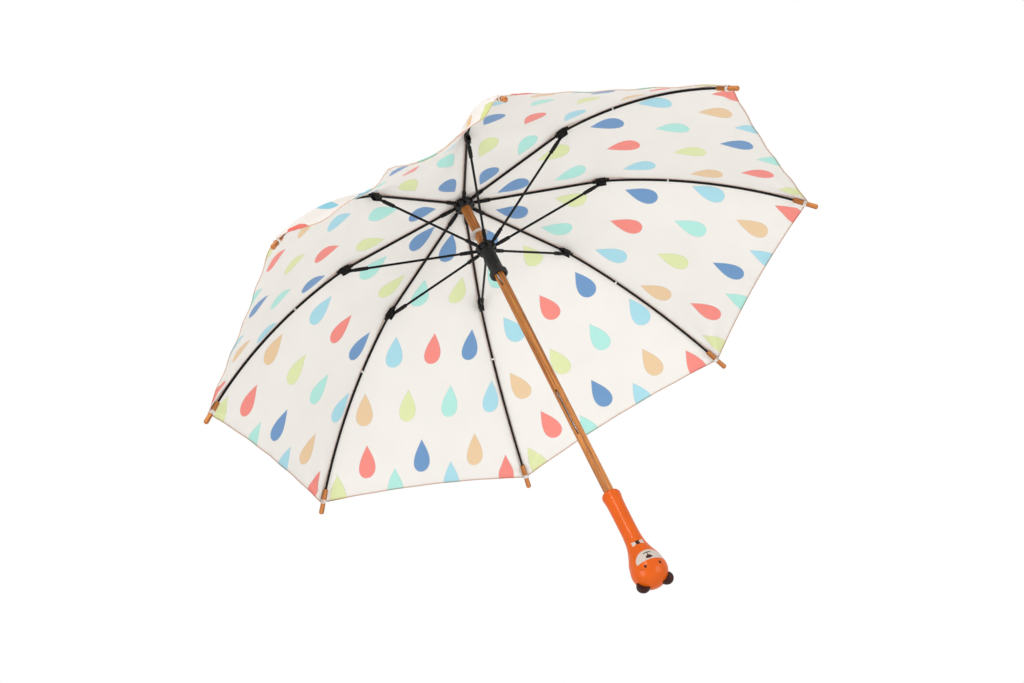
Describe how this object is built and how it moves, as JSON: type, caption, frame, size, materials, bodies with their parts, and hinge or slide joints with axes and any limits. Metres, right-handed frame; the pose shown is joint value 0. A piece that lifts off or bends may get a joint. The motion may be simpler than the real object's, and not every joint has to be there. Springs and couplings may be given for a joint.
{
  "type": "umbrella",
  "caption": "Open stick umbrella for a child: printed canopy on folding ribs, wooden shaft, painted animal-head handle.",
  "frame": {"origin": "on the shaft's axis, in the middle of the handle's grip, where a hand holds the umbrella", "axes": "+Z along the shaft from the handle to the ferrule, -Y the way the animal face on the handle looks"},
  "size_m": [0.7446, 0.7446, 0.6046],
  "materials": {
    "wood": "stained, lengthwise grain, satin varnish",
    "black_plastic": "satin moulded plastic and black-coated rod",
    "steel": "bright spring wire",
    "white_plastic": "milky",
    "orange_paint": "turned wood in glossy orange paint",
    "brown_paint": "wood in dark brown satin paint",
    "fabric": "off-white woven polyester with a print of coloured raindrops"
  },
  "bodies": {
    "shaft": {"shaft": "wood", "handle": "orange_paint", "ear_left": "brown_paint", "ear_right": "brown_paint", "crown": "black_plastic", "crown_wire": "steel", "ferrule": "wood", "top_cap": "fabric", "stop_pin": "steel", "stop_washer": "white_plastic"},
    "rib_1": {"rib_1": "black_plastic", "rib_tip_1": "wood"},
    "rib_2": {"rib_2": "black_plastic", "rib_tip_2": "wood"},
    "rib_3": {"rib_3": "black_plastic", "rib_tip_3": "wood"},
    "rib_4": {"rib_4": "black_plastic", "rib_tip_4": "wood"},
    "rib_5": {"rib_5": "black_plastic", "rib_tip_5": "wood"},
    "rib_6": {"rib_6": "black_plastic", "rib_tip_6": "wood"},
    "rib_7": {"rib_7": "black_plastic", "rib_tip_7": "wood"},
    "rib_8": {"rib_8": "black_plastic", "rib_tip_8": "wood"},
    "stretcher_1": {"stretcher_1": "black_plastic"},
    "stretcher_2": {"stretcher_2": "black_plastic"},
    "stretcher_3": {"stretcher_3": "black_plastic"},
    "stretcher_4": {"stretcher_4": "black_plastic"},
    "stretcher_5": {"stretcher_5": "black_plastic"},
    "stretcher_6": {"stretcher_6": "black_plastic"},
    "stretcher_7": {"stretcher_7": "black_plastic"},
    "stretcher_8": {"stretcher_8": "black_plastic"},
    "runner": {"runner": "black_plastic", "runner_wire": "steel"},
    "panel_1_left": {"panel_1_left": "fabric"},
    "panel_1_right": {"panel_1_right": "fabric"},
    "panel_2_left": {"panel_2_left": "fabric"},
    "panel_2_right": {"panel_2_right": "fabric"},
    "panel_3_left": {"panel_3_left": "fabric"},
    "panel_3_right": {"panel_3_right": "fabric"},
    "panel_4_left": {"panel_4_left": "fabric"},
    "panel_4_right": {"panel_4_right": "fabric"},
    "panel_5_left": {"panel_5_left": "fabric"},
    "panel_5_right": {"panel_5_right": "fabric"},
    "panel_6_left": {"panel_6_left": "fabric"},
    "panel_6_right": {"panel_6_right": "fabric"},
    "panel_7_left": {"panel_7_left": "fabric"},
    "panel_7_right": {"panel_7_right": "fabric"},
    "panel_8_left": {"panel_8_left": "fabric"},
    "panel_8_right": {"panel_8_right": "fabric", "closing_strap": "fabric", "strap_snap": "white_plastic"},
    "top_catch": {"top_catch": "steel"},
    "bottom_catch": {"bottom_catch": "steel"}
  },
  "joints": [
    {"name": "rib_1_fold", "type": "hinge", "parent": "shaft", "child": "rib_1", "pos_m": [0, -0.0105, 0.462], "axis": [1, 0, 0], "range_deg": [0, 64.76], "deforming": ["panel_1_left", "panel_1_right", "panel_2_left", "panel_2_right", "panel_3_left", "panel_3_right", "panel_4_left", "panel_4_right", "panel_5_left", "panel_5_right", "panel_6_left", "panel_6_right", "panel_7_left", "panel_7_right", "panel_8_left", "panel_8_right", "closing_strap", "strap_snap", "top_catch", "bottom_catch"]},
    {"name": "rib_2_fold", "type": "hinge", "parent": "shaft", "child": "rib_2", "pos_m": [0.00742, -0.00742, 0.462], "axis": [0.7071, 0.7071, 0], "range_deg": [0, 64.76]},
    {"name": "rib_3_fold", "type": "hinge", "parent": "shaft", "child": "rib_3", "pos_m": [0.0105, 0, 0.462], "axis": [0, 1, 0], "range_deg": [0, 64.76]},
    {"name": "rib_4_fold", "type": "hinge", "parent": "shaft", "child": "rib_4", "pos_m": [0.00742, 0.00742, 0.462], "axis": [-0.7071, 0.7071, 0], "range_deg": [0, 64.76]},
    {"name": "rib_5_fold", "type": "hinge", "parent": "shaft", "child": "rib_5", "pos_m": [0, 0.0105, 0.462], "axis": [-1, 0, 0], "range_deg": [0, 64.76]},
    {"name": "rib_6_fold", "type": "hinge", "parent": "shaft", "child": "rib_6", "pos_m": [-0.00742, 0.00742, 0.462], "axis": [-0.7071, -0.7071, 0], "range_deg": [0, 64.76]},
    {"name": "rib_7_fold", "type": "hinge", "parent": "shaft", "child": "rib_7", "pos_m": [-0.0105, 0, 0.462], "axis": [0, -1, 0], "range_deg": [0, 64.76]},
    {"name": "rib_8_fold", "type": "hinge", "parent": "shaft", "child": "rib_8", "pos_m": [-0.00742, -0.00742, 0.462], "axis": [0.7071, -0.7071, 0], "range_deg": [0, 64.76]},
    {"name": "stretcher_1_fold", "type": "hinge", "parent": "rib_1", "child": "stretcher_1", "pos_m": [0, -0.15763, 0.42803], "axis": [-1, 0, 0], "range_deg": [0, 129.52]},
    {"name": "stretcher_2_fold", "type": "hinge", "parent": "rib_2", "child": "stretcher_2", "pos_m": [0.11146, -0.11146, 0.42803], "axis": [-0.7071, -0.7071, 0], "range_deg": [0, 129.52]},
    {"name": "stretcher_3_fold", "type": "hinge", "parent": "rib_3", "child": "stretcher_3", "pos_m": [0.15763, 0, 0.42803], "axis": [0, -1, 0], "range_deg": [0, 129.52]},
    {"name": "stretcher_4_fold", "type": "hinge", "parent": "rib_4", "child": "stretcher_4", "pos_m": [0.11146, 0.11146, 0.42803], "axis": [0.7071, -0.7071, 0], "range_deg": [0, 129.52]},
    {"name": "stretcher_5_fold", "type": "hinge", "parent": "rib_5", "child": "stretcher_5", "pos_m": [0, 0.15763, 0.42803], "axis": [1, 0, 0], "range_deg": [0, 129.52]},
    {"name": "stretcher_6_fold", "type": "hinge", "parent": "rib_6", "child": "stretcher_6", "pos_m": [-0.11146, 0.11146, 0.42803], "axis": [0.7071, 0.7071, 0], "range_deg": [0, 129.52]},
    {"name": "stretcher_7_fold", "type": "hinge", "parent": "rib_7", "child": "stretcher_7", "pos_m": [-0.15763, 0, 0.42803], "axis": [0, 1, 0], "range_deg": [0, 129.52]},
    {"name": "stretcher_8_fold", "type": "hinge", "parent": "rib_8", "child": "stretcher_8", "pos_m": [-0.11146, -0.11146, 0.42803], "axis": [-0.7071, 0.7071, 0], "range_deg": [0, 129.52]},
    {"name": "runner_travel", "type": "hinge", "parent": "stretcher_1", "child": "runner", "pos_m": [0, -0.0105, 0.39406], "axis": [1, 0, 0], "range_deg": [0, 64.76]},
    {"name": "panel_1_left_fold", "type": "hinge", "parent": "rib_1", "child": "panel_1_left", "pos_m": [0.00209, -0.0105, 0.462], "axis": [-0.4251, 0.7644, -0.4847], "range_deg": [0, 23.77]},
    {"name": "panel_1_right_fold", "type": "hinge", "parent": "rib_2", "child": "panel_1_right", "pos_m": [0.00595, -0.0089, 0.462], "axis": [0.2399, -0.8411, 0.4847], "range_deg": [0, 23.77]},
    {"name": "panel_2_left_fold", "type": "hinge", "parent": "rib_2", "child": "panel_2_left", "pos_m": [0.0089, -0.00595, 0.462], "axis": [-0.8411, 0.2399, -0.4847], "range_deg": [0, 23.77]},
    {"name": "panel_2_right_fold", "type": "hinge", "parent": "rib_3", "child": "panel_2_right", "pos_m": [0.0105, -0.00209, 0.462], "axis": [0.7644, -0.4251, 0.4847], "range_deg": [0, 23.77]},
    {"name": "panel_3_left_fold", "type": "hinge", "parent": "rib_3", "child": "panel_3_left", "pos_m": [0.0105, 0.00209, 0.462], "axis": [-0.7644, -0.4251, -0.4847], "range_deg": [0, 23.77]},
    {"name": "panel_3_right_fold", "type": "hinge", "parent": "rib_4", "child": "panel_3_right", "pos_m": [0.0089, 0.00595, 0.462], "axis": [0.8411, 0.2399, 0.4847], "range_deg": [0, 23.77]},
    {"name": "panel_4_left_fold", "type": "hinge", "parent": "rib_4", "child": "panel_4_left", "pos_m": [0.00595, 0.0089, 0.462], "axis": [-0.2399, -0.8411, -0.4847], "range_deg": [0, 23.77]},
    {"name": "panel_4_right_fold", "type": "hinge", "parent": "rib_5", "child": "panel_4_right", "pos_m": [0.00209, 0.0105, 0.462], "axis": [0.4251, 0.7644, 0.4847], "range_deg": [0, 23.77]},
    {"name": "panel_5_left_fold", "type": "hinge", "parent": "rib_5", "child": "panel_5_left", "pos_m": [-0.00209, 0.0105, 0.462], "axis": [0.4251, -0.7644, -0.4847], "range_deg": [0, 23.77]},
    {"name": "panel_5_right_fold", "type": "hinge", "parent": "rib_6", "child": "panel_5_right", "pos_m": [-0.00595, 0.0089, 0.462], "axis": [-0.2399, 0.8411, 0.4847], "range_deg": [0, 23.77]},
    {"name": "panel_6_left_fold", "type": "hinge", "parent": "rib_6", "child": "panel_6_left", "pos_m": [-0.0089, 0.00595, 0.462], "axis": [0.8411, -0.2399, -0.4847], "range_deg": [0, 23.77]},
    {"name": "panel_6_right_fold", "type": "hinge", "parent": "rib_7", "child": "panel_6_right", "pos_m": [-0.0105, 0.00209, 0.462], "axis": [-0.7644, 0.4251, 0.4847], "range_deg": [0, 23.77]},
    {"name": "panel_7_left_fold", "type": "hinge", "parent": "rib_7", "child": "panel_7_left", "pos_m": [-0.0105, -0.00209, 0.462], "axis": [0.7644, 0.4251, -0.4847], "range_deg": [0, 23.77]},
    {"name": "panel_7_right_fold", "type": "hinge", "parent": "rib_8", "child": "panel_7_right", "pos_m": [-0.0089, -0.00595, 0.462], "axis": [-0.8411, -0.2399, 0.4847], "range_deg": [0, 23.77]},
    {"name": "panel_8_left_fold", "type": "hinge", "parent": "rib_8", "child": "panel_8_left", "pos_m": [-0.00595, -0.0089, 0.462], "axis": [0.2399, 0.8411, -0.4847], "range_deg": [0, 23.77]},
    {"name": "panel_8_right_fold", "type": "hinge", "parent": "rib_1", "child": "panel_8_right", "pos_m": [-0.00209, -0.0105, 0.462], "axis": [-0.4251, -0.7644, 0.4847], "range_deg": [0, 23.77]},
    {"name": "top_catch_press", "type": "hinge", "parent": "shaft", "child": "top_catch", "pos_m": [-0.0009, -0.00156, 0.33656], "axis": [-0.866, 0.5, 0], "range_deg": [0, 9], "stiffness_Nm_per_rad": 0.3},
    {"name": "bottom_catch_press", "type": "hinge", "parent": "shaft", "child": "bottom_catch", "pos_m": [-0.0009, -0.00156, 0.11796], "axis": [-0.866, 0.5, 0], "range_deg": [0, 3], "stiffness_Nm_per_rad": 1}
  ],
  "couplings": [
    {"joint": "rib_2_fold", "follows": "rib_1_fold", "ratio": 1},
    {"joint": "rib_3_fold", "follows": "rib_1_fold", "ratio": 1},
    {"joint": "rib_4_fold", "follows": "rib_1_fold", "ratio": 1},
    {"joint": "rib_5_fold", "follows": "rib_1_fold", "ratio": 1},
    {"joint": "rib_6_fold", "follows": "rib_1_fold", "ratio": 1},
    {"joint": "rib_7_fold", "follows": "rib_1_fold", "ratio": 1},
    {"joint": "rib_8_fold", "follows": "rib_1_fold", "ratio": 1},
    {"joint": "stretcher_1_fold", "follows": "rib_1_fold", "ratio": 2},
    {"joint": "stretcher_2_fold", "follows": "rib_1_fold", "ratio": 2},
    {"joint": "stretcher_3_fold", "follows": "rib_1_fold", "ratio": 2},
    {"joint": "stretcher_4_fold", "follows": "rib_1_fold", "ratio": 2},
    {"joint": "stretcher_5_fold", "follows": "rib_1_fold", "ratio": 2},
    {"joint": "stretcher_6_fold", "follows": "rib_1_fold", "ratio": 2},
    {"joint": "stretcher_7_fold", "follows": "rib_1_fold", "ratio": 2},
    {"joint": "stretcher_8_fold", "follows": "rib_1_fold", "ratio": 2},
    {"joint": "runner_travel", "follows": "rib_1_fold", "ratio": 1},
    {"joint": "panel_1_left_fold", "follows": "rib_1_fold", "ratio": 0.3671},
    {"joint": "panel_1_right_fold", "follows": "rib_1_fold", "ratio": 0.3671},
    {"joint": "panel_2_left_fold", "follows": "rib_1_fold", "ratio": 0.3671},
    {"joint": "panel_2_right_fold", "follows": "rib_1_fold", "ratio": 0.3671},
    {"joint": "panel_3_left_fold", "follows": "rib_1_fold", "ratio": 0.3671},
    {"joint": "panel_3_right_fold", "follows": "rib_1_fold", "ratio": 0.3671},
    {"joint": "panel_4_left_fold", "follows": "rib_1_fold", "ratio": 0.3671},
    {"joint": "panel_4_right_fold", "follows": "rib_1_fold", "ratio": 0.3671},
    {"joint": "panel_5_left_fold", "follows": "rib_1_fold", "ratio": 0.3671},
    {"joint": "panel_5_right_fold", "follows": "rib_1_fold", "ratio": 0.3671},
    {"joint": "panel_6_left_fold", "follows": "rib_1_fold", "ratio": 0.3671},
    {"joint": "panel_6_right_fold", "follows": "rib_1_fold", "ratio": 0.3671},
    {"joint": "panel_7_left_fold", "follows": "rib_1_fold", "ratio": 0.3671},
    {"joint": "panel_7_right_fold", "follows": "rib_1_fold", "ratio": 0.3671},
    {"joint": "panel_8_left_fold", "follows": "rib_1_fold", "ratio": 0.3671},
    {"joint": "panel_8_right_fold", "follows": "rib_1_fold", "ratio": 0.3671}
  ]
}
